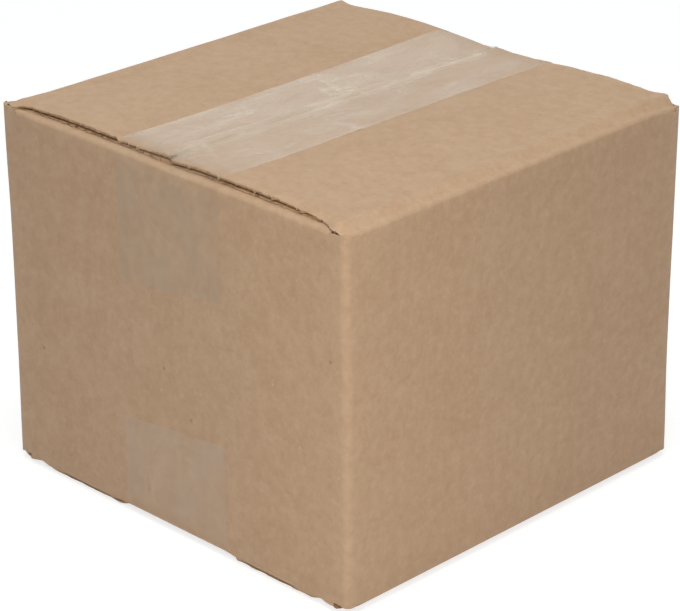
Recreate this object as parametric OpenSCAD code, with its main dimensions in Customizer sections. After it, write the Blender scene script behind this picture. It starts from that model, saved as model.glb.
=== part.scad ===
// A closed corrugated carton. One slotted sheet is folded into four panels, four inner
// flaps and four outer flaps, and its glue tab closes it at a corner. A strip of clear
// tape holds the outer flaps shut on the top, and another holds them on the bottom.
// Millimetres, +Z up. The origin is on the floor, under the middle of the carton.

/* [Carton] */
// Outside width, between the two panels that carry the outer flaps (X)
carton_w = 160; // [100:1:300]
// Outside length, along the seam between the outer flaps (Y)
carton_l = 157; // [100:1:300]
// Height of the panels, from the floor of the lower slots to that of the upper ones
panel_h = 125; // [110:0.5:300]

/* [Corrugated board] */
// Thickness of the board
board_t = 2.5; // [2.2:0.1:3.5]
// Thickness of each of its two flat liners
liner_t = 0.35; // [0.2:0.05:0.5]
// Thickness of the fluted medium that is glued between the liners
medium_t = 0.3; // [0.2:0.05:0.45]
// Distance from one flute to the next
flute_pitch = 6.5; // [5:0.1:10]

/* [Folds and creases] */
// Inside radius of the upright folds between the panels
fold_r = 0.3; // [0.1:0.1:2]
// Outside radius of the creases between the panels and the flaps
crease_r = 1.4; // [0.8:0.1:2]
// Band of board behind a crease in which the flutes are crushed
crush_w = 6; // [5:0.5:10]

/* [Flaps] */
// Board that a slot takes from an outer flap, beside the fold
outer_slot = 0.2; // [0.1:0.1:3]
// Board that a slot takes from an inner flap, beside the fold
inner_slot = 3.7; // [3:0.1:6]
// Opening along the seam between the two outer flaps
outer_gap = 0.6; // [0.2:0.1:3]
// Opening between the two inner flaps
inner_gap = 3; // [1:0.5:20]
// Clearance between the inner and the outer flaps that lie on each other
layer_gap = 0.1; // [0.05:0.05:0.5]
// How far the carton's weight has pressed the bottom outer flaps back in
press_in = 1; // [0.2:0.1:1.2]

/* [Glue tab] */
// Width of the tab, from the outside of its fold
tab_w = 32; // [20:1:45]
// Distance from each slot floor to the tab's end, at its fold
tab_cut = 4; // [3.5:0.5:10]
// Further height that each end of the tab loses towards its free edge
tab_taper = 6; // [2:0.5:12]
// Distance from the corner back to the raw edge of the panel glued over the tab
joint_gap = 1; // [0.5:0.1:2]

/* [Tape] */
// Width of the tape
tape_w = 48; // [36:1:75]
// Thickness of the film with its adhesive
tape_t = 0.1; // [0.05:0.01:0.2]
// Clearance between the tape and the board that it is stuck to
tape_gap = 0.02; // [0.01:0.01:0.1]
// Sideways distance from the seam to the middle of the tape
tape_shift = 1; // [-5:0.5:5]
// Length of the top strip's tails below the slot floor, at their middle
top_tail = 41; // [20:1:45]
// Length of the bottom strip's tails above the slot floor, at their middle
bottom_tail = 34; // [20:1:45]
// How much longer the left side of a top tail is than its right side (X)
top_skew = 7; // [0:0.5:10]
// How much longer the right side of a bottom tail is than its left side (X)
bottom_skew = 5; // [0:0.5:10]
// Distance between the teeth of the torn ends
tooth_pitch = 2; // [1.5:0.1:4]
// Depth of the teeth of the torn ends
tooth_depth = 0.7; // [0.3:0.1:1.5]

/* [Hidden] */

kraft = [0.72, 0.58, 0.44];
clear_film = [0.86, 0.82, 0.76, 0.6];

// Straight steps that draw a quarter of a turn, and the climb of a flap
ARC_STEPS = 6;
// Overlap of the film's cutter, so that it leaves no skin
CUT = 1;

// An upright fold: its outside radius, and half its length on the middle of the board
fold_outer = fold_r + board_t;
half_fold = (fold_r + board_t/2)*PI/4;

// Faces of the four panels
x_left = -carton_w/2;
x_right = carton_w/2;
y_front = -carton_l/2;
y_back = carton_l/2;

// Distance from the neighbouring panel's face to a flap's cut edge
outer_inset = fold_outer + outer_slot;
inner_inset = fold_outer + inner_slot;

// A flap leaves its panel at the slot floor and turns over at the crease. An outer flap
// then climbs over the inner flaps, before their edges begin beneath it. On the bottom
// the weight shares that step out between the outer and the inner flaps.
top_climb = board_t + layer_gap;
bottom_climb = board_t + layer_gap - press_in;
outer_ramp = inner_inset - crease_r;
inner_ramp = outer_inset - crease_r;

// Heights: the lower slot floors, the upper ones, and the middle of the panels
z_low = tape_t + tape_gap + crease_r + bottom_climb;
z_high = z_low + panel_h;

// The straight stretches of the sheet, followed with the carton's inside on the left.
// Each has the start of its outer face, its direction, its length, and the length that
// it has between rounded corners.
root_l = 2;
tab_root = [x_left + fold_outer + root_l, y_back - board_t, 180, root_l, root_l];
left_l = carton_l - board_t - 2*fold_outer;
left_panel = [x_left, y_back - board_t - fold_outer, 270, left_l, left_l];
front_l = carton_w - 2*fold_outer;
front_panel = [x_left + fold_outer, y_front, 0, front_l, front_l];
right_l = carton_l - 2*fold_outer;
right_panel = [x_right, y_front + fold_outer, 90, right_l, right_l];
back_panel = [x_right - fold_outer, y_back, 180, front_l + fold_outer - joint_gap, front_l];
PANELS = [left_panel, front_panel, right_panel, back_panel];
OUTER = [left_panel, right_panel];
INNER = [front_panel, back_panel];

// Every panel holds a whole number of flutes from fold to fold, near the nominal pitch
function span(p) = p[4] + 2*half_fold;
function pitch(p) = span(p)/round(span(p)/flute_pitch);

// A point of a stretch, this far along its outer face and this deep in the board
function on_straight(p, u, depth) =
    [p[0] + u*cos(p[2]) - depth*sin(p[2]), p[1] + u*sin(p[2]) + depth*cos(p[2])];

// A point of the fold before a stretch: part runs from 0 at its start to 1 at its end
function on_fold(p, part, depth) =
    let (centre = on_straight(p, 0, fold_outer), turn = p[2] - 180 + 90*part)
    centre + (fold_outer - depth)*[cos(turn), sin(turn)];

// A point of the sheet, where s is measured on the middle of the board from the middle
// of the fold before the stretch
function on_sheet(p, s, depth) =
    s < half_fold ? on_fold(p, (s + half_fold)/(2*half_fold), depth)
                  : on_straight(p, s - half_fold, depth);

// The medium touches the inner liner in the middle of a fold, and the outer liner half
// a pitch further on. It rests flat on each for a quarter of the pitch.
function wave(s, q) =
    let (phase = s/q - floor(s/q), rise = 4*abs(phase - 0.5) - 0.5)
    max(0, min(1, rise));
high_side = liner_t - medium_t/2;
low_side = board_t - liner_t - medium_t/2;
function medium_depth(s, q) = high_side + (low_side - high_side)*wave(s, q);

// The places between s0 and s1 at which the medium bends, four to a flute
NEAR = 0.01;
function bends(s0, s1, q) =
    [for (k = [ceil((s0 + NEAR)/q*4 - 0.5) : floor((s1 - NEAR)/q*4 - 0.5)]) (k + 0.5)*q/4];

function reversed(list) = [for (i = [len(list) - 1 : -1 : 0]) list[i]];

// The line that a liner follows round the carton at one depth, from tab root to raw edge
function liner_line(depth) = concat(
    [on_straight(tab_root, 0, depth)],
    [for (p = PANELS) for (i = [0 : ARC_STEPS]) on_fold(p, i/ARC_STEPS, depth)],
    [on_straight(back_panel, back_panel[3], depth)]);

// The line that the medium follows round the carton, shifted inwards by add
function medium_line(add) = concat(
    [on_straight(tab_root, 0, low_side + add)],
    [for (p = PANELS)
        for (s = bends(-half_fold, p[3] + half_fold, pitch(p)))
            on_sheet(p, s, medium_depth(s, pitch(p)) + add)],
    [on_straight(back_panel, back_panel[3],
        medium_depth(back_panel[3] + half_fold, pitch(back_panel)) + add)]);

// Section of the whole folded tube, seen from above: outer liner, medium, inner liner
module tube_section() {
    for (depth = [0, board_t - liner_t])
        polygon(concat(liner_line(depth), reversed(liner_line(depth + liner_t))));
    polygon(concat(medium_line(0), reversed(medium_line(medium_t))));
}

// Section of flat board from s0 to s1, across its flutes, with its outer face along X
module board_section(s0, s1, q) {
    stops = concat([s0], bends(s0, s1, q), [s1]);
    over = [for (s = stops) [s, medium_depth(s, q)]];
    under = [for (s = stops) [s, medium_depth(s, q) + medium_t]];
    for (depth = [0, board_t - liner_t])
        translate([s0, depth]) square([s1 - s0, liner_t]);
    polygon(concat(over, reversed(under)));
}

// Height of a flap's outer face above the slot floor, at a distance v from the panel's
// face, where ramp is the length over which it climbs
function flap_height(v, climb, ramp) =
    let (k = max(0, min(1, (v - crease_r)/ramp)))
    crease_r + climb*(1 - cos(180*k))/2;

// Section of a crease and of the crushed band behind it, across the crease
module crease_section(climb, ramp) {
    band_end = crease_r + crush_w;
    steps = [for (i = [0 : ARC_STEPS]) crease_r + ramp*i/ARC_STEPS];
    turned = [for (i = [0 : ARC_STEPS - 1])
        let (turn = 180 - 90*i/ARC_STEPS) crease_r*[1 + cos(turn), sin(turn)]];
    over = [for (v = concat(steps, [band_end])) [v, flap_height(v, climb, ramp)]];
    under = [for (v = concat([board_t], [for (v = steps) if (v > board_t + NEAR) v], [band_end]))
        [v, flap_height(v, climb, ramp) - board_t]];
    polygon(concat(turned, over, reversed(under), [[board_t, 0]]));
}

// A flap, drawn on its panel: X runs along the crease, Y into the carton, and Z away
// from the slot floor. slot is what its two slots take, and reach is where it ends.
module flap(panel, slot, reach, climb, ramp) {
    band_end = crease_r + crush_w;
    start = slot;
    end = panel[4] - slot;
    translate([start, 0, 0]) rotate([90, 0, 90]) linear_extrude(height = end - start)
        crease_section(climb, ramp);
    translate([0, reach, 0]) rotate([90, 0, 0]) linear_extrude(height = reach - band_end)
        translate([-half_fold, crease_r + climb]) mirror([0, 1])
            board_section(start + half_fold, end + half_fold, pitch(panel));
}

// Moves a shape from a panel's own directions to where that panel stands
module on_panel(p) {
    translate([p[0], p[1], 0]) rotate([0, 0, p[2]]) children();
}

module on_top() {
    translate([0, 0, z_high]) children();
}

module on_bottom() {
    translate([0, 0, z_low]) mirror([0, 0, 1]) children();
}

outer_reach = (carton_w - outer_gap)/2;
inner_reach = (carton_l - inner_gap)/2;

module flaps() {
    for (p = OUTER) {
        on_top() on_panel(p) flap(p, outer_slot, outer_reach, top_climb, outer_ramp);
        on_bottom() on_panel(p) flap(p, outer_slot, outer_reach, bottom_climb, outer_ramp);
    }
    for (p = INNER) {
        on_top() on_panel(p) flap(p, inner_slot, inner_reach, 0, inner_ramp);
        on_bottom() on_panel(p) flap(p, inner_slot, inner_reach, -press_in, inner_ramp);
    }
}

// The tab, glued flat to the inside of the back panel, with its ends cut to a taper
module glue_tab() {
    free_x = tab_w - fold_outer;
    low = z_low + tab_cut;
    high = z_high - tab_cut;
    translate([x_left + fold_outer, y_back - board_t, 0]) intersection() {
        linear_extrude(height = z_high) mirror([0, 1])
            translate([-half_fold, 0])
                board_section(half_fold + root_l, half_fold + free_x, pitch(back_panel));
        rotate([90, 0, 0]) linear_extrude(height = board_t)
            polygon([[0, low], [free_x, low + tab_taper], [free_x, high - tab_taper], [0, high]]);
    }
}

module carton() {
    color(kraft) {
        translate([0, 0, z_low]) linear_extrude(height = panel_h) tube_section();
        glue_tab();
        flaps();
    }
}

// Half of a strip's section, from the middle of the carton to the end of a tail. Y runs
// out to the panel's face and Z away from the slot floor. The film lies on the outer
// flap, goes straight from the flap's edge to the crease, and on down the panel. lift is
// the film's distance from the board.
function strip_line(climb, lift, tail) =
    let (
        face = carton_l/2,
        edge = [face - outer_inset, crease_r + climb],
        centre = [face - crease_r, 0],
        slant = atan2(edge.y - centre.y, edge.x - centre.x),
        reach = norm(edge - centre),
        meet = slant - acos(crease_r/reach),
        round_r = crease_r + lift)
    concat(
        [[0, edge.y + lift]],
        [for (i = [0 : 2]) let (a = 90 + (meet - 90)*i/2) edge + lift*[cos(a), sin(a)]],
        [for (i = [0 : ARC_STEPS]) let (a = meet*(1 - i/ARC_STEPS)) centre + round_r*[cos(a), sin(a)]],
        [[face + lift, -tail]]);

function mirrored(line) = [for (p = line) [-p.x, p.y]];

// Where a tail's film would end if it were not torn, as a distance below the slot floor
function film_end(tail, skew) = tail + abs(skew) + tooth_depth;

// The saw-toothed line along which a tail was torn off, as a cutter below it. A positive
// skew makes the left side of the tail the longer one.
module tear(tail, skew) {
    half = tape_w/2 + CUT;
    teeth = ceil(2*half/tooth_pitch);
    line = [for (i = [0 : 2*teeth])
        let (x = -half + i*half/teeth)
        [x, -tail + skew*x/tape_w - (i % 2)*tooth_depth]];
    under = -film_end(tail, skew) - CUT;
    rotate([90, 0, 0]) linear_extrude(height = carton_l + 4*CUT, center = true)
        polygon(concat(line, [[half, under], [-half, under]]));
}

// A strip of tape over the seam and down both ends, with Z away from the slot floor
module strip(climb, tail, skew) {
    end = film_end(tail, skew);
    inner = strip_line(climb, tape_gap, end);
    outer = strip_line(climb, tape_gap + tape_t, end);
    loop = concat(reversed(mirrored(outer)), outer, reversed(inner), mirrored(inner));
    translate([tape_shift, 0, 0]) difference() {
        rotate([90, 0, 90]) linear_extrude(height = tape_w, center = true) polygon(loop);
        tear(tail, skew);
    }
}

module top_tape() {
    color(clear_film) on_top() strip(top_climb, top_tail, top_skew);
}

module bottom_tape() {
    color(clear_film) on_bottom() strip(bottom_climb, bottom_tail, -bottom_skew);
}

carton();
top_tape();
bottom_tape();
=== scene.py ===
# %% [markdown]
# A closed carton, photographed from a corner
#
# The carton is one sheet of corrugated board: it is slotted, creased, folded, glued at one
# corner and shut with two strips of clear tape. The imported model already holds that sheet,
# flute by flute, with sharp and perfect faces. A real carton of this kind has been handled:
# its flaps sag between the creases, one flap edge stands a little proud of the other, its
# cut edges are ragged and its tape is wrinkled. These cells add all of that.

import math
import random

import bmesh
import bpy
from mathutils import Matrix, Vector, noise


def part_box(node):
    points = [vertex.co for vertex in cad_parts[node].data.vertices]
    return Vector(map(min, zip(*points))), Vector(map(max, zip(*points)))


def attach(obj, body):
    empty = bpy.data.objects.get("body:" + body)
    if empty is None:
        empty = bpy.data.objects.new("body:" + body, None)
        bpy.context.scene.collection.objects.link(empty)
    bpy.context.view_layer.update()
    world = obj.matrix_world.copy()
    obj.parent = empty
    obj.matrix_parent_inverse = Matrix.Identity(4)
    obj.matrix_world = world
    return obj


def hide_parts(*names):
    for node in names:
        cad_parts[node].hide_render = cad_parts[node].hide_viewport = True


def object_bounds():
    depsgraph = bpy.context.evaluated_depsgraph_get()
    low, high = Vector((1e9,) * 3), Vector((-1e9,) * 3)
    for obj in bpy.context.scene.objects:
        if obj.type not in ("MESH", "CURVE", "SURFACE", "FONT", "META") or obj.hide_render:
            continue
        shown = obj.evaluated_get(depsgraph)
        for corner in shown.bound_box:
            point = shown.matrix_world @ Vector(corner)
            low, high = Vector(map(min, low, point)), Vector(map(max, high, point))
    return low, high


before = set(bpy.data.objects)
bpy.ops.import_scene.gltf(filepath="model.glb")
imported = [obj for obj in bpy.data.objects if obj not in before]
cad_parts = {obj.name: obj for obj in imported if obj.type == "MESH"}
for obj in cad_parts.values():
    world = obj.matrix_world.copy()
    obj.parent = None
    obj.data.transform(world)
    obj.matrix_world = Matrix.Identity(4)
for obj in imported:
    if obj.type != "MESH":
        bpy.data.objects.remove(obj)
cad_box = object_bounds()
print("model box in metres:", [tuple(round(c, 4) for c in corner) for corner in cad_box])

# %% [markdown]
# Where the board is
#
# All later steps need the same few places: the faces of the carton, the slot floors where
# the flaps leave the panels, and the thickness of the board. They follow from the box of
# the carton and from the sizes of the board, so nothing has to be measured by hand.

# %% Sizes of the board, and the places that follow from them
MM = 0.001
BOARD = 2.5*MM
LINER = 0.35*MM
CREASE_R = 1.4*MM
FOLD_R = 2.8*MM
FLUTE_PITCH = 6.5*MM
LAYER_GAP = 0.1*MM
FLAP_INSET = 3.0*MM
SEAM_GAP = 0.6*MM
TAPE_WIDTH = 48*MM
TAPE_SHIFT = 1*MM

low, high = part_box("carton")
half_w = (high.x - low.x)/2
half_l = (high.y - low.y)/2
flap_top = high.z
rim = flap_top - BOARD - LAYER_GAP
slot_top = rim - CREASE_R
flap_end = half_l - FLAP_INSET
print("rim of the panels at", round(rim/MM, 2), "mm, flaps' face at", round(flap_top/MM, 2), "mm")

# %% [markdown]
# The camera
#
# The photograph is taken over a corner with a long lens from about a metre away, so the
# upright edges stay almost parallel. The camera's place was worked out from the corners of
# the carton. It is built here from an azimuth, an elevation and a small roll, and it looks
# past the middle of the carton by a small offset.

# %% Camera
AZIMUTH = math.radians(44.99)
ELEVATION = math.radians(24.08)
ROLL = math.radians(-0.36)
DISTANCE = 982.6*MM
LENS = 154.33
SENSOR = 36.0
AIM = Vector((0, 0, 66.1*MM))
OFFSET = Vector((-0.72*MM, -8.70*MM))

ahead = Vector((-math.sin(AZIMUTH)*math.cos(ELEVATION),
                math.cos(AZIMUTH)*math.cos(ELEVATION),
                -math.sin(ELEVATION)))
level = ahead.cross(Vector((0, 0, 1))).normalized()
upward = level.cross(ahead)
across = math.cos(ROLL)*level + math.sin(ROLL)*upward
upright = math.cos(ROLL)*upward - math.sin(ROLL)*level

camera = bpy.data.objects.new("camera", bpy.data.cameras.new("camera"))
bpy.context.scene.collection.objects.link(camera)
camera.data.lens = LENS
camera.data.sensor_width = SENSOR
place = AIM + OFFSET.x*across + OFFSET.y*upright - DISTANCE*ahead
turned = Matrix((across, upright, -ahead)).transposed().to_4x4()
camera.matrix_world = Matrix.Translation(place) @ turned
bpy.context.scene.camera = camera
print("camera stands at", [round(c, 3) for c in place])

# %% [markdown]
# Building materials from nodes
#
# Every surface here is a small tree of shader nodes. Three helpers keep that short: one
# starts an empty material, one adds a node and joins its inputs, and one adds a sum. The
# fourth tells rays that make the picture and its reflections from rays that carry light.

# %% Helpers for materials
def new_material(name):
    """A material with an empty node tree, and that tree."""
    material = bpy.data.materials.new(name)
    material.use_nodes = True
    material.node_tree.nodes.clear()
    return material, material.node_tree


def node(tree, kind, settings=None, **inputs):
    """Adds a node. Settings are its properties, and inputs are values or sockets, which are
    named by their sockets' names or, as in _0, by their numbers."""
    made = tree.nodes.new(kind)
    for key, value in (settings or {}).items():
        setattr(made, key, value)
    for key, value in inputs.items():
        socket = made.inputs[int(key[1:]) if key[0] == "_" else key.replace("_", " ")]
        if isinstance(value, bpy.types.NodeSocket):
            tree.links.new(value, socket)
        else:
            socket.default_value = value
    return made


def maths(tree, operation, *values):
    """A Math node's result."""
    return node(tree, "ShaderNodeMath", {"operation": operation},
                **{f"_{i}": v for i, v in enumerate(values)}).outputs[0]


def camera_and_mirrors(tree):
    """1 for rays from the camera, off a glossy face or bent by a clear one, and otherwise 0."""
    path = node(tree, "ShaderNodeLightPath")
    seen = maths(tree, "MAXIMUM", path.outputs["Is Camera Ray"], path.outputs["Is Glossy Ray"])
    return maths(tree, "MAXIMUM", seen, path.outputs["Is Transmission Ray"])

# %% [markdown]
# The white studio
#
# The carton stands on a white sheet in even, soft light. A floor that the camera sees as
# white has to come from the floor's own material: more light would bleach the carton.
# So the floor mixes a plain white surface, which shows the soft shadow, with a glow that
# only the camera and mirror rays see. The world is done the same way: it looks white, but
# it gives only a faint light.

# %% Floor and world
FLOOR_SIDE = 6.0
FLOOR_DROP = 0.05*MM
FLOOR_WHITE = 0.9
SHADOW_SHARE = 0.45
GLOW = 1.35
AMBIENT = 0.18

floor = bpy.data.objects.new("floor", bpy.data.meshes.new("floor"))
bm = bmesh.new()
bmesh.ops.create_grid(bm, x_segments=1, y_segments=1, size=FLOOR_SIDE/2)
bm.to_mesh(floor.data)
bm.free()
bpy.context.scene.collection.objects.link(floor)
floor.location.z = -FLOOR_DROP

paper_white, tree = new_material("studio_floor")
sheet = node(tree, "ShaderNodeBsdfDiffuse", Color=(FLOOR_WHITE, FLOOR_WHITE, FLOOR_WHITE, 1))
glow = node(tree, "ShaderNodeEmission", Color=(1, 1, 1, 1), Strength=GLOW)
share = maths(tree, "MULTIPLY", camera_and_mirrors(tree), 1 - SHADOW_SHARE)
mixed = node(tree, "ShaderNodeMixShader", _0=share, _1=sheet.outputs[0], _2=glow.outputs[0])
node(tree, "ShaderNodeOutputMaterial", Surface=mixed.outputs[0])
floor.data.materials.append(paper_white)

world = bpy.data.worlds.new("studio")
bpy.context.scene.world = world
world.use_nodes = True
tree = world.node_tree
tree.nodes.clear()
soft = node(tree, "ShaderNodeBackground", Color=(1, 1, 1, 1), Strength=AMBIENT)
white = node(tree, "ShaderNodeBackground", Color=(1, 1, 1, 1), Strength=1.0)
mixed = node(tree, "ShaderNodeMixShader", _0=camera_and_mirrors(tree),
             _1=soft.outputs[0], _2=white.outputs[0])
node(tree, "ShaderNodeOutputWorld", Surface=mixed.outputs[0])
print("floor of", FLOOR_SIDE, "m, world light of", AMBIENT)

# %% [markdown]
# Three soft lamps
#
# A small lamp just below the camera's line of sight lights the two panels that the
# photograph shows, a large one overhead lights the flaps, and one behind the carton keeps
# its far panels from going dull. Glossy film would mirror the first and the last as glaring
# patches, which the photograph doesn't show, so those two are left out of reflections.

# %% Lamps
def lamp(name, azimuth, elevation, distance, side, watts, colour, mirrored):
    """A square area lamp that points at the middle of the carton."""
    light = bpy.data.lights.new(name, "AREA")
    light.shape = "SQUARE"
    light.size = side
    light.energy = watts
    light.color = colour
    made = bpy.data.objects.new(name, light)
    made.visible_glossy = mirrored
    az, el = math.radians(azimuth), math.radians(elevation)
    towards = Vector((math.sin(az)*math.cos(el), -math.cos(az)*math.cos(el), math.sin(el)))
    turn = towards.to_track_quat("Z", "Y").to_matrix().to_4x4()
    made.matrix_world = Matrix.Translation(AIM + distance*towards) @ turn
    bpy.context.scene.collection.objects.link(made)
    print(name, "lamp of", watts, "W at azimuth", azimuth, "and elevation", elevation)


lamp("key", azimuth=47, elevation=16, distance=0.45, side=0.22, watts=0.50,
     colour=(1.0, 0.965, 0.89), mirrored=False)
lamp("overhead", azimuth=42, elevation=80, distance=1.2, side=0.9, watts=10.5,
     colour=(0.96, 1.02, 1.03), mirrored=True)
lamp("fill", azimuth=222, elevation=5, distance=1.6, side=0.6, watts=4.0,
     colour=(1.0, 0.97, 0.92), mirrored=False)
bpy.context.scene.view_settings.view_transform = "Standard"

# %% [markdown]
# How the rim has settled
#
# A real carton isn't a perfect block. Its rim slopes by a millimetre or so from corner to
# corner, the tip of the front left corner stands up, and the back right one is dented.
# These drops were read off the outline of the carton in the photograph. They are smooth
# functions of a place seen from above, so that everything there moves alike.

# %% The drop of the rim
RIM_DROP = {(-1, -1): 0.5*MM, (1, -1): 1.2*MM, (1, 1): 0.0*MM, (-1, 1): 1.4*MM}
CORNER_DENT = 1.6*MM
DENT_WIDTH = 9*MM
CORNER_RISE = 1.9*MM
RISE_WIDTHS = (6.5*MM, 4*MM)
CREASE_WAVE = 0.15*MM
WAVE_STEP = 14*MM


def ease(t):
    """Runs smoothly from 0 to 1 as t does."""
    t = min(1.0, max(0.0, t))
    return t*t*(3 - 2*t)


def mix(a, b, t):
    """The value a share t of the way from a to b."""
    return a + (b - a)*t


def bell(distance, width):
    """1 at no distance, and fading to 0 beyond the width."""
    return math.exp(-(distance/width)**2)


def wander(x, y, z=0.0):
    """Slow noise between about -1 and 1. One unit of its place is one step of the noise."""
    return noise.noise(Vector((x, y, z)))


def rim_drop(x, y):
    """How far the rim has sunk at a place seen from above."""
    u, v = (x/half_w + 1)/2, (y/half_l + 1)/2
    front = mix(RIM_DROP[-1, -1], RIM_DROP[1, -1], u)
    back = mix(RIM_DROP[-1, 1], RIM_DROP[1, 1], u)
    dent = CORNER_DENT*bell(half_w - x, DENT_WIDTH)*bell(half_l - y, DENT_WIDTH)
    rise = CORNER_RISE*bell(half_w + x, RISE_WIDTHS[0])*bell(half_l + y, RISE_WIDTHS[1])
    wave = CREASE_WAVE*(0.6 + wander(x/WAVE_STEP, y/WAVE_STEP, 3.1))
    return mix(front, back, v) + dent - rise + wave


for x, y in RIM_DROP:
    print("rim at the corner", (x, y), "sinks", round(rim_drop(x*half_w, y*half_l)/MM, 2), "mm")

# %% [markdown]
# How the flaps have settled
#
# The outer flaps dip behind their creases, where the board is crushed, and under the tape
# towards the back. At the front they stand up a little, with a notch at the seam, and the
# left one rises again at the back. Both layers of flaps, and the tape on them, share this
# drop. It fades out at the edges, where the flaps hang on the rim.

# %% The drop of the flaps
FLAP_DROP = (0.1*MM, 0.0*MM)
SHOULDER = {-1: (1.4*MM, 0.6*MM), 1: (1.2*MM, 0.4*MM)}
SHOULDER_FROM = 9*MM
SHOULDER_WIDTH = 12*MM
SEAM_DIP = (0.0*MM, 1.8*MM)
DIP_DRIFT = 11*MM
DIP_WIDTH = 20*MM
FRONT_RISE = 0.7*MM
FRONT_NOTCH = 0.86*MM
NOTCH_WIDTH = 7*MM
BACK_RISE = 1.15*MM
BACK_RISE_X = -36*MM
BACK_RISE_WIDTH = 22*MM
UNEVEN = 0.12*MM
UNEVEN_STEP = 30*MM
EDGE_FADE = 12*MM


def near_front(v):
    """1 at the front ends of the flaps, and 0 beyond a fifth of their length."""
    return 1 - ease(v*5)


def flap_drop(x, y):
    """How far the flaps have sunk beyond the rim, all layers alike."""
    v = (y/half_l + 1)/2
    front = near_front(v)
    inward = half_w - abs(x)
    shoulder = mix(*SHOULDER[1 if x > 0 else -1], v)*(1 - 0.6*front)
    drop = mix(*FLAP_DROP, v) + shoulder*bell(max(0.0, inward - SHOULDER_FROM), SHOULDER_WIDTH)
    drop += mix(*SEAM_DIP, v)*bell(x - DIP_DRIFT*v, DIP_WIDTH)
    drop += front*(FRONT_NOTCH*bell(x, NOTCH_WIDTH) - FRONT_RISE)
    drop -= BACK_RISE*bell(x - BACK_RISE_X, BACK_RISE_WIDTH)*ease(2*v - 1)
    drop += UNEVEN*wander(x/UNEVEN_STEP, y/UNEVEN_STEP, 7.7)
    return drop*ease(inward/EDGE_FADE)*ease((half_l - abs(y))/FLAP_INSET)


for y in (-flap_end, 0.0, flap_end):
    print("flaps beside the seam at y", round(y/MM, 1), "mm sink",
          round(flap_drop(2*MM, y)/MM, 2), "mm")

# %% [markdown]
# One function moves every point
#
# The panels also bow inwards a little, and the left flap's edge stands up along the seam.
# The settling function adds up all of this. The board, its flutes and the tape all go
# through it, so they settle together and nothing cuts through anything.

# %% The settling function
SEAM_LIFT = (1.2*MM, 0.35*MM)
LIFT_WIDTHS = (15*MM, 8*MM)
PANEL_BOW = 0.45*MM
BOW_STEP = 60*MM
BOW_FADE = 40*MM
SINK_FROM = 60*MM
FLAPS_FROM = 9*MM


def seam_lift(x, y):
    """How far the left outer flap's edge stands up along the seam."""
    v = (y/half_l + 1)/2
    return mix(*SEAM_LIFT, ease(v*1.6))*bell(x, mix(*LIFT_WIDTHS, near_front(v)))


def settle(p, lifted):
    """Where a point of the perfect carton has gone. Lifted is the share of the seam's lift."""
    high_up = ease((p.z - SINK_FROM)/(rim - SINK_FROM))
    on_flaps = ease((p.z - (slot_top - FLAPS_FROM))/(8*MM))
    sunk = rim_drop(p.x, p.y)*high_up + flap_drop(p.x, p.y)*on_flaps
    middle = ease(p.z/BOW_FADE)*ease((slot_top - p.z)/BOW_FADE)
    bow_x = 0.5 + wander(p.y/BOW_STEP, p.z/BOW_STEP, math.copysign(2, p.x))
    bow_y = 0.5 + wander(p.x/BOW_STEP, p.z/BOW_STEP, math.copysign(5, p.y))
    return Vector((p.x*(1 - PANEL_BOW*middle*max(0.0, bow_x)/half_w),
                   p.y*(1 - PANEL_BOW*middle*max(0.0, bow_y)/half_l),
                   p.z - sunk + lifted*seam_lift(p.x, p.y)))


for side, lifted in ((-1, 1), (1, 0)):
    z = settle(Vector((side*MM, -flap_end, flap_top)), lifted).z
    print("flap's face at the front of the seam, side", side, ":", round(z/MM, 2), "mm")

# %% [markdown]
# The board
#
# The carton could be modelled again from flat sheets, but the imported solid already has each
# flute in its true place. So a copy of it is merged into one closed skin, and its flat faces
# are cut into small squares with planes. The squares are what lets a flat face bend. The
# flaps bend most beside the seam, so they are cut twice as fine there.

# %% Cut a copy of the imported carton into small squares
CUT_STEP = 8*MM
MOST_SIDES = 6
BESIDE_SEAM = 28*MM
MERGE = 0.002*MM
FLAT = math.radians(0.3)
layer_top = rim + LAYER_GAP/2


def skin_of(name):
    """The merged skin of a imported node, with the loose triangles of its flat faces joined."""
    skin = bmesh.new()
    skin.from_mesh(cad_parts[name].data)
    bmesh.ops.remove_doubles(skin, verts=skin.verts, dist=MERGE)
    bmesh.ops.dissolve_limit(skin, angle_limit=FLAT, verts=skin.verts, edges=skin.edges)
    many = [f for f in skin.faces if len(f.verts) > MOST_SIDES]
    bmesh.ops.triangulate(skin, faces=many)
    return skin


def cut(skin, axis, places, wanted=lambda centre: True):
    """Cuts the faces whose centres are wanted with planes across an axis."""
    normal = Vector((0, 0, 0))
    normal[axis] = 1
    faces = [f for f in skin.faces if wanted(f.calc_center_median())]
    geom = [*{v for f in faces for v in f.verts}, *{e for f in faces for e in f.edges}, *faces]
    for place in places:
        geom = bmesh.ops.bisect_plane(skin, geom=geom, dist=0.001*MM,
                                      plane_co=normal*place, plane_no=normal)["geom"]


def steps(start, end, step):
    """Even places strictly between start and end, at about this step."""
    count = max(1, round((end - start)/step))
    return [mix(start, end, i/count) for i in range(1, count)]


board = skin_of("carton")
print("faces of the joined skin:", len(board.faces))
cut(board, 0, steps(-half_w, half_w, CUT_STEP))
cut(board, 1, steps(-half_l, half_l, CUT_STEP))
cut(board, 2, steps(low.z, flap_top, CUT_STEP))
cut(board, 0, steps(-BESIDE_SEAM, BESIDE_SEAM, CUT_STEP/2),
    lambda c: c.z > layer_top and abs(c.x) < BESIDE_SEAM)
print("faces after the cuts:", len(board.faces))

# %% [markdown]
# Finer cuts where the board is ragged
#
# The ends of the outer flaps are cut along their flutes, so one open flute shows as a dark
# line over each end panel. Its lips are frayed, and near the corners they are pressed shut.
# That takes small faces, but only in narrow bands, and finest of all on the front.

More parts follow.
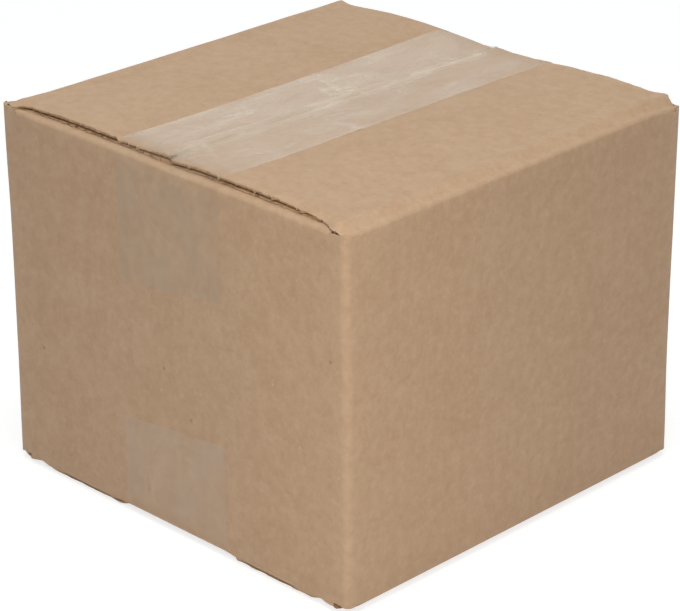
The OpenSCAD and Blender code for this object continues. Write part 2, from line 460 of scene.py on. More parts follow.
# %% Finer cuts along the ends of the outer flaps and at the corners
FRAY_BAND = 1.6*MM
FRAY_STEP = {True: 0.5*MM, False: 1.6*MM}
PRESS_REACH = 3.4*MM
END_ROWS = (0.5*MM, FRAY_BAND, 2.4*MM, PRESS_REACH)
CORNER = 13*MM
CORNER_COLUMNS = (3.5*MM, 5*MM, 6.5*MM, 10*MM, 12*MM)
WALL = 3.2*MM
SLOT_ROWS = (0.08*MM, 0.3*MM, 1.2*MM)
layer_low = low.z + BOARD + LAYER_GAP/2
slot_low = low.z + CREASE_R + BOARD + LAYER_GAP - 1.0*MM


def outer_layer(p):
    """True in the layer of the outer flaps, on the top or below."""
    return p.z > layer_top or p.z < layer_low


def front_top(p):
    """True at the front of the top's outer flaps, where the photograph shows their ends."""
    return p.y < 0 and p.z > layer_top


def in_fray_band(p, at_front):
    """True close to the cut ends, either those that the photograph shows or the others."""
    from_band = abs(abs(p.y) - flap_end + FRAY_BAND/2)
    return (outer_layer(p) and from_band < FRAY_BAND/2 + 0.01*MM
            and abs(p.x) < half_w - FOLD_R and front_top(p) == at_front)


for side in (-1, 1):
    cut(board, 1, [side*(flap_end - d) for d in END_ROWS],
        lambda c: outer_layer(c) and 0 < flap_end - side*c.y < CUT_STEP)
for at_front, step in FRAY_STEP.items():
    cut(board, 0, steps(1*MM - half_w, half_w - 1*MM, step), lambda c: in_fray_band(c, at_front))
for side in (-1, 1):
    cut(board, 0, [side*(half_w - d) for d in CORNER_COLUMNS],
        lambda c: outer_layer(c) and side*c.x > half_w - CORNER and abs(c.y) > flap_end - CUT_STEP)
cut(board, 2, [slot_top + d for d in SLOT_ROWS],
    lambda c: c.z > slot_top - 1*MM and abs(c.x) > half_w - WALL)
cut(board, 2, [slot_low - d for d in SLOT_ROWS],
    lambda c: c.z < slot_low + 1*MM and abs(c.x) > half_w - WALL)
print("faces after the finer cuts:", len(board.faces))

# %% [markdown]
# Telling the parts of the sheet apart
#
# The merged skin is one mesh, so a point's place has to say what it belongs to: a panel or
# a flap, near a fold or away from it, on the face of the board or deep within it. These
# small questions are asked again and again by the cells that follow.

# %% Helpers that say where on the sheet a point lies
# The folds are painted pale, partly for wear and partly as a painted highlight where a rounded
# fold catches the light.
WEAR_AND_HIGHLIGHT_WIDTH = 3.2*MM
WEAR_AND_HIGHLIGHT = {"upright": 1.0, "end": 0.6, "side": 0.35}
INNER_FLAP_IN = FLAP_INSET + 3.5*MM


def runs_along_x(centre):
    """True where a face belongs to a front or back panel or to an inner flap."""
    in_x, in_y = half_w - abs(centre.x), half_l - abs(centre.y)
    if slot_low < centre.z < slot_top:
        return in_y < in_x
    inner = centre.z < layer_top if centre.z > slot_top else centre.z > layer_low
    return in_y < FLAP_INSET or (inner and in_x > INNER_FLAP_IN)


def along_flutes(p, centre, along_x):
    """How far up the unfolded sheet a point lies: beyond a crease, the flap goes on."""
    inward = half_l - abs(p.y) if along_x else half_w - abs(p.x)
    if centre.z > slot_top:
        return p.z + inward
    return p.z - inward if centre.z < slot_low else p.z


# Wear and painted highlight: how strongly a point is painted pale by its fold.
def fold_wear_and_highlight(p):
    """1 on an upright fold, less on a crease, fading to 0 a few millimetres away."""
    in_x, in_y = half_w - abs(p.x), half_l - abs(p.y)
    in_z = min(abs(rim - p.z), abs(p.z - slot_low + CREASE_R))
    return max(WEAR_AND_HIGHLIGHT["upright"]*bell(max(in_x, in_y), WEAR_AND_HIGHLIGHT_WIDTH),
               WEAR_AND_HIGHLIGHT["end"]*bell(max(in_y, in_z), WEAR_AND_HIGHLIGHT_WIDTH),
               WEAR_AND_HIGHLIGHT["side"]*bell(max(in_x, in_z), WEAR_AND_HIGHLIGHT_WIDTH))


def depth_in_board(p):
    """How deep a point lies below the outer face of its layer of board."""
    if p.z > slot_top:
        return flap_top - p.z if p.z > layer_top else rim - p.z
    if p.z < slot_low:
        return p.z - low.z if p.z < layer_low else p.z - low.z - BOARD - LAYER_GAP
    return min(half_w - abs(p.x), half_l - abs(p.y))


print("depth of the rim's face in the board:",
      round(depth_in_board(Vector((0, 0, rim - 0.01*MM)))/MM, 2), "mm")

# %% [markdown]
# A map of the flat sheet
#
# The paper has a direction: the flutes run up the panels and on into the flaps. A pattern
# in world directions would turn the wrong way on the flaps. So each face gets map
# coordinates of the unfolded sheet, counted in flutes: u crosses the flutes and v runs
# along them. Two more values mark how near a point lies to a fold, where the paper wears
# pale and a highlight is painted, and which points lie within an open flute, where little
# light gets in and bounce light is painted.

# %% Map the board, its worn and highlit folds and its open flutes
OPEN_REACH = 12*MM
SHUT_CORNER = 5*MM

flat_map = board.loops.layers.uv.new("flat_sheet")
wear_and_highlight = board.verts.layers.float.new("wear_and_highlight")
inside = board.verts.layers.float.new("inside")
for face in board.faces:
    centre = face.calc_center_median()
    along_x = runs_along_x(centre)
    for loop in face.loops:
        p = loop.vert.co
        crossing = p.x if along_x else p.y
        up = along_flutes(p, centre, along_x)
        loop[flat_map].uv = (crossing/FLUTE_PITCH, up/FLUTE_PITCH)
# Each point also stores whether it lies in an open flute, where bounce light is painted.
in_the_open = 0
for vert in board.verts:
    vert[wear_and_highlight] = fold_wear_and_highlight(vert.co)
    in_flute = 0.9*LINER < depth_in_board(vert.co) < BOARD - 0.9*LINER
    near_end = outer_layer(vert.co) and abs(vert.co.y) > flap_end - OPEN_REACH
    open_here = ease((half_w - SHUT_CORNER - abs(vert.co.x))/(SHUT_CORNER/2))
    vert[inside] = open_here if in_flute and near_end else 0.0
    in_the_open += vert[inside] > 0
print("points within the open flutes:", in_the_open)

# %% [markdown]
# The open flute between the lips
#
# The gape between the lips of the open flute was read off the photograph along the front:
# wide along most of it, nearly shut where the knife pressed the board at x = -24 mm, and
# shut at both corners. Each pair below is a place along the front and the gape there, in
# millimetres. The outer lip is pressed down to it, and less and less further from the end.

# %% How far the ends of the outer flaps are pressed
GAPE = ((-80, 0.05), (-73, 0.1), (-70.5, 1.1), (-53, 1.45), (-38, 1.55), (-26, 1.5), (-24, 0.6),
        (-22, 0.85), (-9, 1.0), (-2.3, 1.75), (-0.1, 1.8), (0.1, 1.45), (22, 1.5), (36, 1.45),
        (46, 1.35), (58, 1.0), (64, 0.6), (68, 0.25), (70, 0.05), (80, 0.05))
BACK_GAPE = 1.8*MM
LOWER_GAPE = 1.4*MM
UNEVEN_PRESS = 0.25*MM
PRESS_STEP = 5*MM
LEAST_ROOM = 0.03*MM


def gape(p):
    """The height of the opening between the lips of a cut end."""
    if not front_top(p):
        return BACK_GAPE if p.z > rim else LOWER_GAPE
    for (a, gape_a), (b, gape_b) in zip(GAPE, GAPE[1:]):
        if p.x <= b*MM:
            return mix(gape_a, gape_b, (p.x/MM - a)/(b - a))*MM
    return GAPE[-1][1]*MM


def press(p, depth, end):
    """How far the outer lip is pressed into the board, at a distance from the cut end."""
    uneven = UNEVEN_PRESS*wander(p.x/PRESS_STEP, math.copysign(1, p.y), 9.0)
    full = BOARD - 2*LINER
    amount = min(full - LEAST_ROOM, max(0.0, full - gape(p) + uneven))
    share = 1 - min(1.0, max(0.0, (depth - LINER)/full))
    return amount*share*ease(1 - end/PRESS_REACH)


for x in (-60, -24, 20, 66):
    print("gape at the front, x", x, "mm:", round(gape(Vector((x*MM, -half_l, flap_top)))/MM, 2))

# %% [markdown]
# Corners where the board bulges
#
# At a corner the ends of an outer flap, of the upright fold and of the end panel meet over
# a slot. In a handled carton the flap's end bulges out over the slot and hides it, its inner
# lip hangs down, and the end of the fold reaches up to it. At the front left corner the
# flap's tip also sticks up. Below, the ends of the bottom flaps come out a little on both
# sides of the tape, as the weight has squashed them.

# %% How the corners bulge and close
BULGE = {(1, -1): 2.8*MM, (-1, -1): 2.8*MM, (1, 1): 2.4*MM, (-1, 1): 2.4*MM}
BULGE_WIDTH = 8*MM
BULGE_LENGTH = 7*MM
LOWER_SHARE = 0.85
LOWER_REACH = 2.3*MM
LOWER_ENDS = 68*MM
CLOSING = 1.0*MM
LEFT_CLOSING = 1.2*MM
LOWER_TIP = 0.5*MM
TUCK = 1.25*MM
EAR = 2.4*MM
EAR_REACH = 2.4*MM
ON_PLANE = 0.02*MM


def bulge(p):
    """How far the end of an outer flap stands out over a corner."""
    if not outer_layer(p) and abs(p.x) < half_w - WALL:
        return 0.0
    reach = BULGE[1 if p.x > 0 else -1, 1 if p.y > 0 else -1]
    across = ease((abs(p.x) - half_w + CORNER)/BULGE_WIDTH)
    if p.z < rim/2:
        beside_tape = ease((abs(p.x - TAPE_SHIFT) - TAPE_WIDTH/2 - 1*MM)/(3*MM))
        reach *= LOWER_SHARE
        before_corner = ease((LOWER_ENDS - abs(p.x))/(6*MM))
        across = max(across, beside_tape*before_corner*LOWER_REACH/reach)
    along = ease((abs(p.y) - flap_end + BULGE_LENGTH)/BULGE_LENGTH)
    over = p.z - slot_top if p.z > rim/2 else slot_low - p.z
    return reach*across*along*ease(over/(0.3*MM))


def closed(p):
    """How far an end of an upright fold reaches up, or down below, to close its slot."""
    at_fold = abs(p.x) > half_w - 7*MM and abs(p.y) > flap_end + ON_PLANE
    if at_fold and abs(p.z - slot_top) < ON_PLANE:
        return LEFT_CLOSING if p.x < 0 and p.y < 0 else CLOSING
    tip = ease((abs(p.x) - half_w + 3.5*MM)/(2*MM))
    return -LOWER_TIP*tip if at_fold and abs(p.z - slot_low) < ON_PLANE else 0.0


def ear(p, depth):
    """How far the tip of the left flap sticks up over the front left corner."""
    if p.x > 0 or not front_top(p):
        return 0.0
    across = ease((abs(p.x) - half_w + 6*MM)/(3*MM))*max(0.0, 1 - depth/BOARD)
    return EAR*across*ease((abs(p.y) - flap_end + EAR_REACH)/EAR_REACH)


def tuck(p, depth):
    """How far the inner lip at the corner of an outer flap hangs down over the slot."""
    if not outer_layer(p):
        return 0.0
    across = ease((abs(p.x) - half_w + 6.8*MM)/(1.5*MM))
    return TUCK*across*min(1.0, depth/BOARD)*ease((abs(p.y) - flap_end + 4*MM)/(4*MM))


def rounded(p):
    """Draws a point over a corner in to the round of the upright fold."""
    x, y = abs(p.x) - half_w + FOLD_R, abs(p.y) - half_l + FOLD_R
    reach = math.hypot(x, y)
    if min(x, y) <= 0 or reach <= FOLD_R:
        return p
    shrink = FOLD_R/reach
    return Vector((math.copysign(half_w - FOLD_R + x*shrink, p.x),
                   math.copysign(half_l - FOLD_R + y*shrink, p.y), p.z))


corner_tip = Vector((half_w - 1*MM, -flap_end, flap_top))
print("the near corner's flap comes out by", round(bulge(corner_tip)/MM, 2), "mm")

# %% [markdown]
# Ragged papers at the cut ends
#
# A blade that cuts along a flute tears its papers. The outer paper's edge wavers and sags,
# the inner side of it hangs in small tufts across the gape, the fluted paper is set back,
# and the inner paper is torn unevenly. Each is moved in its own way below. At the back the
# tape holds the outer paper flat, and at the left corners the papers stay together.

# %% Fray one point of a cut end
TUFTS = ((-63, 0.5), (-47, 0.4), (-34, 0.5), (-24, 0.7), (-15, 0.4), (9, 0.4), (22, 0.5),
         (30, 0.4), (37.8, 0.9), (46.1, 0.8), (58.6, 0.8), (64, 0.4))
TUFT_WIDTH = 0.8*MM
ROUGH_STEP = 0.9*MM
SLOW_STEP = 3.5*MM
TORN_STEP = 1.6*MM
TAPED_LIP = 0.3*MM
LIP_SAG = 0.4*MM
INNER_DROP = 0.25*MM


def taped_back(p):
    """True at the back end of the top, where the tape holds the liner's edge flat."""
    return p.y > 0 and p.z > rim and abs(p.x - TAPE_SHIFT) < TAPE_WIDTH/2


def fray(vert, p, depth, out, sink):
    """Makes a point of a cut end ragged. Out points off the end, and sink into the board."""
    rough = wander(p.x/ROUGH_STEP, out, 2.0)
    slow = wander(p.x/SLOW_STEP, out, 4.4)
    apart = ease((half_w - 6*MM + p.x)/(2*MM))
    if depth < 0.5*LINER and taped_back(p):
        vert.co.y += out*TAPED_LIP
    elif depth < 0.5*LINER:
        vert.co.y += out*(0.45*MM*rough + 0.3*MM*slow)
        vert.co.z += sink*LIP_SAG*max(0.0, rough + 0.3)
    elif depth < 1.2*LINER:
        tuft = max(size*bell(p.x - place*MM, TUFT_WIDTH) for place, size in TUFTS)
        vert.co.y += out*(0.4*MM*rough - 0.1*MM)
        hang = 0.8*MM*max(0.0, rough + 0.25) + 0.3*MM*max(0.0, slow) + tuft*MM
        vert.co.z += sink*min(hang, max(0.0, gape(p) - 0.1*MM))
    elif depth < BOARD - 1.2*LINER:
        vert.co.y -= apart*out*(0.8*MM + 0.5*MM*rough)
    else:
        torn = wander(p.x/TORN_STEP, out, 6.6)
        vert.co.y -= apart*out*(0.35*MM + 0.9*MM*torn)
        vert.co.z += sink*INNER_DROP


print("tufts across the gape:", len(TUFTS))

# %% [markdown]
# Working the ends of the outer flaps
#
# Each point of the board is asked for its place and its depth, and is then moved by every
# function above that reaches it: pressed, frayed, bulged and drawn round the corner. The
# two edges along the seam are also brought closer together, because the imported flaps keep
# more room between them than the photograph shows.

# %% Press, fray and bulge the ends of the outer flaps
SEAM_KEPT = 0.15

frayed = 0
for vert in board.verts:
    p = vert.co.copy()
    end = flap_end - abs(p.y)
    out = math.copysign(1, p.y)
    sink = -1 if p.z > rim/2 else 1
    depth = depth_in_board(p)
    if outer_layer(p) and end > -ON_PLANE and abs(p.x) < half_w - 0.3*MM:
        vert.co.z += sink*press(p, depth, end)
        if end < ON_PLANE:
            fray(vert, p, depth, out, sink)
            frayed += 1
    at_corner = abs(p.x) > half_w - CORNER
    if p.z < layer_low or (at_corner and (p.z > slot_top or p.z < slot_low)):
        vert.co.y += out*bulge(p)
        vert.co = rounded(vert.co)
        vert.co.z += sink*(tuck(p, depth) - ear(p, depth))
    vert.co.z += closed(p)
    if p.z > layer_top and abs(p.x) < SEAM_GAP*0.6:
        vert.co.x *= SEAM_KEPT
print("frayed points:", frayed)

# %% [markdown]
# Settle the board and make it an object
#
# Now the settling function moves every point. The seam's lift belongs to the left outer
# flap alone, so only its layer gets it. What bulges over a corner moves with the end of its
# flap, and not by its own place, so that it doesn't tear off. Sharp edges are marked by
# their angle, which keeps the bent faces smooth and the cut edges crisp.

# %% Settle the board
SHARP_ANGLE = math.radians(32)
KEEP_OFF = 0.002*MM


def keep_inside(p):
    """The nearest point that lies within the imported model's box."""
    return Vector([min(b - KEEP_OFF, max(a + KEEP_OFF, c)) for a, b, c in zip(*cad_box, p)])


def new_piece(name, skin):
    """Makes an object from a bmesh, in place, and lets it ride on the carton's body."""
    mesh = bpy.data.meshes.new(name)
    for vert in skin.verts:
        vert.co = keep_inside(vert.co)
    skin.to_mesh(mesh)
    skin.free()
    mesh.shade_smooth()
    mesh.set_sharp_from_angle(angle=SHARP_ANGLE)
    piece = bpy.data.objects.new(name, mesh)
    bpy.context.scene.collection.objects.link(piece)
    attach(piece, "root")
    mesh.calc_loop_triangles()
    print(name, "has", len(mesh.loop_triangles), "triangles")
    return piece


for vert in board.verts:
    p = vert.co.copy()
    left_flap = p.x < 0 and p.z > rim + ON_PLANE
    anchor = p.copy()
    if p.z > layer_top or (p.z > slot_top + ON_PLANE and abs(p.x) > half_w - WALL):
        anchor.y = min(flap_end, max(-flap_end, p.y))
    vert.co = p + settle(anchor, 1.0 if left_flap else 0.0) - anchor
bmesh.ops.triangulate(board, faces=[f for f in board.faces if len(f.verts) > 4])
carton = new_piece("corrugated_carton", board)
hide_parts("carton")

# %% [markdown]
# The tape
#
# A strip of clear tape is a thin film that follows the board over the seam, bridges the
# step down to the end panel and is torn off on a toothed edge. It is made as a flat grid
# whose points are laid along the strip's path. The path is half of the strip seen from the
# side: along the flaps, straight down to the rounded slot floor, and on down the panel.

# %% The path of a strip
ARC_STEPS = 8


def strip_path(plane, floor_z, up, end):
    """Corners (y, z) of half a strip, from the middle of the seam to the end panel's face.
    Plane is the flaps' face, floor_z the slot floor, up is 1 on the top and -1 below, and
    end is where the flap ends."""
    centre_y = half_l - CREASE_R
    step = up*(plane - floor_z)
    run = centre_y - end
    meet = math.atan2(step, -run) - math.acos(CREASE_R/math.hypot(step, run))
    points = [(0.0, plane), (end, plane)]
    for i in range(ARC_STEPS + 1):
        turn = meet*(1 - i/ARC_STEPS)
        points.append((centre_y + CREASE_R*math.cos(turn), floor_z + up*CREASE_R*math.sin(turn)))
    return [Vector(p) for p in points]


def walk(path, s, up):
    """The point at a distance s along a path that goes on down the end panel, and its normal."""
    for a, b in zip(path, path[1:]):
        length = (b - a).length
        if s <= length:
            along = (b - a)/length
            return a + along*s, Vector((-along.y, along.x))*up
        s -= length
    return path[-1] + Vector((0, -up*s)), Vector((1, 0))


def path_length(path):
    """The length of a path up to the end panel's face."""
    return sum((b - a).length for a, b in zip(path, path[1:]))


print("from the middle of the seam to the end panel:",
      round(path_length(strip_path(flap_top, slot_top, 1, flap_end))/MM, 1), "mm of tape")

# %% [markdown]
# Wrinkles of the film
#
# Each wrinkle is a line through a few points of the strip, with a width and a height. The
# points are given in millimetres across and along the strip. The first ones were read off
# the photograph: a curved one on the front tail, short ones over the seam, the bubble at
# the right-hand edge and the long ridge over the proud edge of the left flap. A few more
# come at random places, from a seed, so that they are the same each time.

# %% Wrinkles
SEEN_WRINKLES = [
    ([(-16, -89), (-12.5, -95), (-7, -100), (-1, -104), (3, -105.5)], 0.45, 0.09),
    ([(-17, 7.5), (-6, 4.5)], 1.0, 0.16),
    ([(-14, 2.0), (-5, -0.5)], 0.9, 0.12),
    ([(5.2, -68), (8.5, -65)], 0.8, 0.20),
    ([(15, -17.5), (19, -15.5), (23, -17)], 1.6, 0.22),
    ([(-4, -66), (-2.6, -40), (-2.8, -20)], 0.9, 0.14),
    ([(-2.6, -14), (-2.2, 10), (-1.6, 26)], 0.8, 0.12),
    ([(-0.8, 34), (0.6, 50), (1.2, 66)], 0.9, 0.14),
]


def off_line(x, s, points):
    """The distance of a point from a line through some points."""
    here = Vector((x, s))
    gaps = []
    for a, b in zip(points, points[1:]):
        a, b = Vector(a)*MM, Vector(b)*MM
        t = (here - a).dot(b - a)/(b - a).length_squared
        gaps.append((here - a.lerp(b, min(1.0, max(0.0, t)))).length)
    return min(gaps)


def chance_wrinkles(seed, count, reach):
    """Short wrinkles at random places, most of them aslant of the strip."""
    rng = random.Random(seed)
    made = []
    for _ in range(count):
        x, s = rng.uniform(-19, 19), rng.uniform(-reach, reach)
        turn = rng.choice((rng.uniform(-0.5, 0.5), rng.uniform(1.2, 1.9)))
        half = rng.uniform(2.0, 7.0)
        dx, ds = half*math.cos(turn), half*math.sin(turn)
        bend = rng.uniform(-1.2, 1.2)
        line = [(x - dx, s - ds), (x + bend*ds/half, s - bend*dx/half), (x + dx, s + ds)]
        made.append((line, rng.uniform(0.7, 1.3), rng.uniform(0.04, 0.12)))
    return made


def raised_at(x, s, wrinkles):
    """How high the wrinkles stand at a place on the strip."""
    height = 0.0
    for line, width, rise in wrinkles:
        gap = off_line(x, s, line)
        if gap < 3*width*MM:
            height = max(height, rise*MM*bell(gap, width*MM))
    return height


top_wrinkles = SEEN_WRINKLES + chance_wrinkles(11, 22, 75)
bottom_wrinkles = chance_wrinkles(23, 14, 108)
print("wrinkles on the top strip:", len(top_wrinkles), "and below:", len(bottom_wrinkles))

# %% [markdown]
# Laying the strips
#
# A grid's own flat coordinates become places along the path, and each point then goes
# through the settling function as the board did. The last row of each end is drawn into
# teeth, as a dispenser's blade leaves it, and each tail is cut off a little aslant. The left
# flaps end short of the right ones at the back, beside the glue joint, so the left half of a
# strip leaves the board earlier there.

# %% Lay the strips of tape
COLUMNS = 90
FILM = 0.05*MM
FILM_GAP = 0.05*MM
TOOTH_PITCH = 2*MM
TOOTH_DEPTH = 0.7*MM
SOFT_WAVE = 0.04*MM
HALVES_BLEND = 4*MM
FULL_CRINKLE = 0.15*MM


def make_strip(name, up, tail, skew, seed, rows, wrinkles):
    """A strip of tape over the top seam (up is 1) or the bottom seam (up is -1)."""
    plane = flap_top if up > 0 else low.z
    floor_z = slot_top if up > 0 else slot_low
    path = strip_path(plane, floor_z, up, flap_end)
    back_left_path = strip_path(plane, floor_z, up, flap_end - BOARD)
    to_panel = path_length(path)
    skin = bmesh.new()
    bmesh.ops.create_grid(skin, x_segments=COLUMNS, y_segments=rows, size=0.5)
    crinkle = skin.verts.layers.float.new("crinkle")
    laid = {}
    for vert in skin.verts:
        x, v = vert.co.x*TAPE_WIDTH, vert.co.y*2
        reach = to_panel + tail - skew*x/TAPE_WIDTH
        if abs(v) > 0.9999:
            tooth = abs((x/TOOTH_PITCH) % 1 - 0.5)*2
            reach += TOOTH_DEPTH*(tooth + 0.3*wander(x/(3*MM), seed))
        s = v*reach
        point, normal = walk(path, abs(s), up)
        if s > 0:
            on_left = ease(-(x + TAPE_SHIFT)/HALVES_BLEND)
            point = point.lerp(walk(back_left_path, s, up)[0], on_left)
        raised = raised_at(x, s, wrinkles)
        vert[crinkle] = min(1.0, raised/FULL_CRINKLE)
        soft = SOFT_WAVE*max(0.0, wander(x/(5*MM), s/(14*MM), seed))
        point = point + normal*(FILM_GAP + raised + soft)
        place = Vector((x + TAPE_SHIFT, math.copysign(point.x, s), point.y))
        lifted = 0.0
        if up > 0 and abs(s) < to_panel:
            lifted = ease((3*MM - place.x)/(3.6*MM))*ease((half_l - abs(place.y))/FLAP_INSET)
        laid[vert] = (x/TAPE_WIDTH, s/TAPE_WIDTH)
        vert.co = settle(place, lifted)
    strip_map = skin.loops.layers.uv.new("strip")
    for face in skin.faces:
        for loop in face.loops:
            loop[strip_map].uv = laid[loop.vert]
    if up < 0:
        bmesh.ops.reverse_faces(skin, faces=skin.faces)
    bmesh.ops.solidify(skin, geom=skin.faces, thickness=-FILM)
    return new_piece(name, skin)


top_strip = make_strip("top_tape_film", 1, tail=41*MM, skew=7*MM, seed=11, rows=290,
                       wrinkles=top_wrinkles)
bottom_strip = make_strip("bottom_tape_film", -1, tail=34*MM, skew=-5*MM, seed=23, rows=200,
                          wrinkles=bottom_wrinkles)
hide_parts("top_tape")
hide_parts("bottom_tape")

# %% [markdown]
# Patterns for the finishes
#
# Paper and film are never one flat colour. Their variety is built from a few kinds of node:
# noise at some scale, a range that turns noise into a share, a blend of two colours by a
# share, and values that were stored on the points of the mesh.

# %% Helpers for patterns
def colour_mix(tree, share, a, b):
    """A blend of two colours or sockets by a share."""
    made = node(tree, "ShaderNodeMix", {"data_type": "RGBA"}, _0=share)
    for index, value in ((6, a), (7, b)):
        if isinstance(value, bpy.types.NodeSocket):
            tree.links.new(value, made.inputs[index])
        else:
            made.inputs[index].default_value = (*value, 1)
    return made.outputs[2]


def ramp(tree, value, start, end, low_out=0.0, high_out=1.0):
    """Maps a value from one range to another and keeps it inside."""
    made = node(tree, "ShaderNodeMapRange", _0=value, _1=start, _2=end, _3=low_out, _4=high_out)
    return made.outputs[0]


def grain(tree, vector, scale, detail=3.0, roughness=0.55):
    """Noise at a scale, around one half."""
    return node(tree, "ShaderNodeTexNoise", Vector=vector, Scale=scale, Detail=detail,
                Roughness=roughness).outputs["Fac"]


def stretched(tree, vector, *scale):
    """Coordinates with another scale along each axis."""
    return node(tree, "ShaderNodeMapping", Vector=vector, Scale=scale).outputs[0]


def attribute(tree, name):
    """A value that is stored on the points of the mesh."""
    return node(tree, "ShaderNodeAttribute", {"attribute_name": name}).outputs["Fac"]

# %% [markdown]
# Kraft paper
#
# The outer liner is unbleached paper: a warm brown with cloudy patches, fine fibres, small
# dark and pale specks, and faint ridges where the flutes lie beneath. It could be a scanned
# picture, but noise at several sizes gives the same look on every face without a seam. The
# folds are scuffed pale, and the same pale colour is a painted highlight on them. The paper
# within the open flute is painted lighter and warmer, as painted bounce light, and it still
# looks dark because little light gets in.

# %% Kraft paper colour
KRAFT = (0.515, 0.322, 0.188)
KRAFT_PALE = (0.640, 0.450, 0.300)
KRAFT_DEEP = (0.400, 0.228, 0.120)
NEARLY_BLACK = (0.20, 0.11, 0.06)
# Painted bounce light: the paper within the open flute is painted lighter and warmer than the
# liner.
FLUTE_BOUNCE_LIGHT = (0.540, 0.345, 0.180)
FLUTE_SHARE = 0.8
SPECKS = ((520, 0.988, KRAFT_DEEP), (330, 0.993, NEARLY_BLACK), (420, 0.986, KRAFT_PALE))
SPECK_SHARE = 0.55


def mottled(tree, place, pulp, fibres, ridges):
    """Brown with clouds, blotches, pulp, fibres and the shade of the flutes."""
    clouds = grain(tree, place, 55, 4.0)
    blotches = grain(tree, place, 250, 3.0, 0.6)
    colour = colour_mix(tree, ramp(tree, clouds, 0.3, 0.7),
                        [mix(k, d, 0.13) for k, d in zip(KRAFT, KRAFT_DEEP)],
                        [mix(k, p, 0.12) for k, p in zip(KRAFT, KRAFT_PALE)])
    for value, start, end, most, tint in (
            (blotches, 0.50, 0.32, 0.23, KRAFT_DEEP), (blotches, 0.50, 0.68, 0.20, KRAFT_PALE),
            (pulp, 0.46, 0.30, 0.37, KRAFT_DEEP), (pulp, 0.54, 0.70, 0.33, KRAFT_PALE),
            (fibres, 0.56, 0.74, 0.28, KRAFT_PALE), (ridges, -1.0, 1.0, 0.04, KRAFT_DEEP)):
        colour = colour_mix(tree, ramp(tree, value, start, end, 0.0, most), colour, tint)
    return colour


def specked(tree, place, colour):
    """Adds specks. Each kind has a size of cells and the share of them that stay empty."""
    for size, empty, tint in SPECKS:
        cells = node(tree, "ShaderNodeTexVoronoi", Vector=place, Scale=size, Randomness=1.0)
        lottery = node(tree, "ShaderNodeSeparateColor", _0=cells.outputs["Color"]).outputs[0]
        dot = maths(tree, "MULTIPLY", ramp(tree, cells.outputs["Distance"], 0.28, 0.12),
                    maths(tree, "GREATER_THAN", lottery, empty))
        colour = colour_mix(tree, maths(tree, "MULTIPLY", dot, SPECK_SHARE), colour, tint)
    return colour


def wear_and_painted_light(tree, place, colour):
    """Scuffs the folds pale with a painted highlight in the same colour, and paints bounce light
    into the open flute as a lighter, warmer colour.
    """
    # The pale scuffs on the folds are partly real wear and partly a painted highlight.
    scuffs_and_highlight = ramp(tree, grain(tree, place, 240, 4.0), 0.35, 0.65, 0.12, 0.36)
    scuffed_and_highlit = maths(tree, "MULTIPLY", attribute(tree, "wear_and_highlight"), scuffs_and_highlight)
    colour = colour_mix(tree, scuffed_and_highlit, colour, KRAFT_PALE)
    # Painted bounce light within the open flute.
    within = maths(tree, "MULTIPLY", attribute(tree, "inside"), FLUTE_SHARE)
    return colour_mix(tree, within, colour, FLUTE_BOUNCE_LIGHT)

# %% [markdown]
# The paper's relief and sheen
#
# The paper isn't smooth: pulp, fibres and flutes all raise it by a few hundredths of a
# millimetre. That is too fine for the mesh, so a bump node tilts the light instead. A dull,
# slightly uneven surface with a trace of sheen stands for its short loose fibres.

# %% Kraft paper material
SHEEN = 0.12
RELIEF = 0.6


def kraft_paper():
    """The paper's colour, its fine relief and its dull surface."""
    material, tree = new_material("kraft_paper")
    place = node(tree, "ShaderNodeTexCoord").outputs["Object"]
    flutes = node(tree, "ShaderNodeUVMap", {"uv_map": "flat_sheet"}).outputs[0]
    pulp = grain(tree, place, 620, 5.0, 0.65)
    fibres = grain(tree, stretched(tree, flutes, 1.2, 9.0, 1.0), 3.0, 6.0, 0.7)
    across_flutes = node(tree, "ShaderNodeSeparateXYZ", _0=flutes).outputs[0]
    ridges = maths(tree, "COSINE", maths(tree, "MULTIPLY", across_flutes, 2*math.pi))
    colour = mottled(tree, place, pulp, fibres, ridges)
    colour = wear_and_painted_light(tree, place, specked(tree, place, colour))

    height = maths(tree, "MULTIPLY_ADD", pulp, 0.05, maths(tree, "MULTIPLY", fibres, 0.03))
    height = maths(tree, "MULTIPLY_ADD", ridges, 0.018, height)
    bump = node(tree, "ShaderNodeBump", Height=height, Strength=RELIEF, Distance=MM)
    paper = node(tree, "ShaderNodeBsdfPrincipled", Base_Color=colour, Normal=bump.outputs[0],
                 Roughness=ramp(tree, pulp, 0.2, 0.8, 0.58, 0.72))
    paper.inputs["Specular IOR Level"].default_value = 0.5
    paper.inputs["Sheen Weight"].default_value = SHEEN
    paper.inputs["Sheen Roughness"].default_value = 0.5
    node(tree, "ShaderNodeOutputMaterial", Surface=paper.outputs[0])
    print("kraft paper is made of", len(tree.nodes), "nodes")
    return material


carton.data.materials.append(kraft_paper())

# %% [markdown]
# Clear tape
#
# Packing tape is a glossy clear film with a little air trapped under it. Where the glue has
# wetted the paper it is almost invisible, and where it has not, it looks milky: over the
# seam, along each wrinkle and in cloudy patches. So the film lets the paper show through by
# its alpha, which rises in those places, and a clear coat gives it the shine of the film.
# Over the flaps the milky colour and alpha are also a painted sheen, for the pale reflection
# of flat film seen at a low angle; the top strip gets more of it than the one below.
# The strip's own map, counted in tape widths, says where over the flaps a place lies.

# %% Clear tape material
# The milky colour over the flaps is also a painted sheen.
MILKY_AND_SHEEN = (0.90, 0.73, 0.55)
FLAPS_END = flap_end/TAPE_WIDTH
SEAM_X = 0.005
CREASE_MILK = 0.14
COAT = 0.5
COAT_ROUGHNESS = 0.18


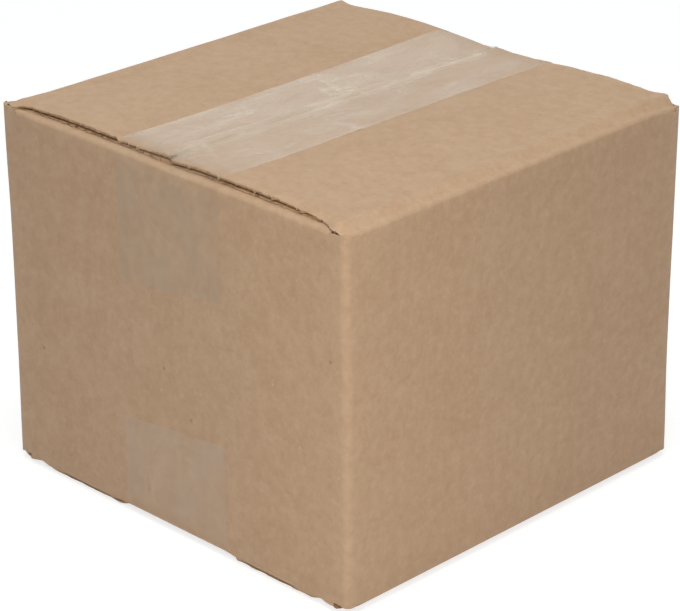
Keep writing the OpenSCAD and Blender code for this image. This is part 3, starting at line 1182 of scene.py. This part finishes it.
def cloudiness(tree, across, along, streaks, patches, milk_and_sheen):
    """How milky the film is in its cloudy patches and over the seam, the left half more. The
    milkiness is partly air under the film and partly a painted sheen.
    """
    cloudy = maths(tree, "ADD", ramp(tree, streaks, 0.1, 0.9), ramp(tree, patches, 0.1, 0.9))
    left_half = ramp(tree, across, 0.12, -0.08, 0.65, 1.10)
    middle = ramp(tree, along, FLAPS_END, 0.5*FLAPS_END, 0.75*milk_and_sheen, milk_and_sheen)
    cloudy = maths(tree, "MULTIPLY", maths(tree, "MULTIPLY", cloudy, left_half), middle)
    from_seam = maths(tree, "ABSOLUTE", maths(tree, "ADD", across, -SEAM_X))
    seam = maths(tree, "MULTIPLY", ramp(tree, from_seam, 0.06, 0.01), 0.5*milk_and_sheen)
    return maths(tree, "ADD", cloudy, seam)


def clear_tape(name, clear, milk_and_sheen, wetted):
    """Film with a least alpha, a share of milkiness and painted sheen over the flaps, and a wetted
    colour.
    """
    material, tree = new_material(name)
    strip = node(tree, "ShaderNodeUVMap", {"uv_map": "strip"}).outputs[0]
    split = node(tree, "ShaderNodeSeparateXYZ", _0=strip)
    across, along = split.outputs[0], maths(tree, "ABSOLUTE", split.outputs[1])
    streaks = grain(tree, stretched(tree, strip, 7, 2.2, 1), 1.6, 2.5, 0.5)
    patches = grain(tree, stretched(tree, strip, 3.2, 1.4, 1), 1.6, 2.0, 0.4)
    uneven = maths(tree, "MULTIPLY_ADD", patches, 0.12, along)
    # Over the flaps the film is milky for the air under it and as a painted sheen of flat film at
    # a low angle.
    over_flaps = maths(tree, "MULTIPLY", ramp(tree, along, FLAPS_END + 0.02, FLAPS_END - 0.01),
                       ramp(tree, uneven, FLAPS_END + 0.08, FLAPS_END - 0.14, 0.45, 1.0))
    cloudy = maths(tree, "MULTIPLY", over_flaps,
                   cloudiness(tree, across, along, streaks, patches, milk_and_sheen))
    crinkle = attribute(tree, "crinkle")
    crease = maths(tree, "MULTIPLY", crinkle, CREASE_MILK)
    on_bend = maths(tree, "ABSOLUTE", maths(tree, "ADD", along, -FLAPS_END - 0.04))
    spread = maths(tree, "MULTIPLY", ramp(tree, patches, 0.26, 0.66, 0.45, 1.15), clear)
    plain = maths(tree, "MULTIPLY", ramp(tree, on_bend, 0.06, 0.16, 0.25, 1.0), spread)
    alpha = maths(tree, "ADD", maths(tree, "ADD", cloudy, crease), plain)
    # The milky colour on the flaps is partly a painted sheen.
    colour = colour_mix(tree, maths(tree, "MAXIMUM", over_flaps, crinkle), wetted, MILKY_AND_SHEEN)
    film = node(tree, "ShaderNodeBsdfPrincipled", Base_Color=colour, Alpha=alpha,
                Roughness=ramp(tree, streaks, 0.3, 0.7, 0.16, 0.32))
    film.inputs["Specular IOR Level"].default_value = 0.8
    film.inputs["Coat Weight"].default_value = COAT
    film.inputs["Coat Roughness"].default_value = COAT_ROUGHNESS
    node(tree, "ShaderNodeOutputMaterial", Surface=film.outputs[0])
    print(name, "is made of", len(tree.nodes), "nodes")
    return material


# The top strip gets more milk and painted sheen than the one below.
film_on_top = clear_tape("film_on_top", clear=0.09, milk_and_sheen=0.26, wetted=(0.64, 0.57, 0.45))
film_below = clear_tape("film_below", clear=0.12, milk_and_sheen=0.10, wetted=(0.78, 0.67, 0.55))
top_strip.data.materials.append(film_on_top)
bottom_strip.data.materials.append(film_below)

# %% [markdown]
# The box of the finished carton
#
# The carton and the tape stay within the imported model's box, since new_piece keeps each of
# their points inside it. The view layer is brought up to date at the end.

# %% Finish
bpy.context.view_layer.update()
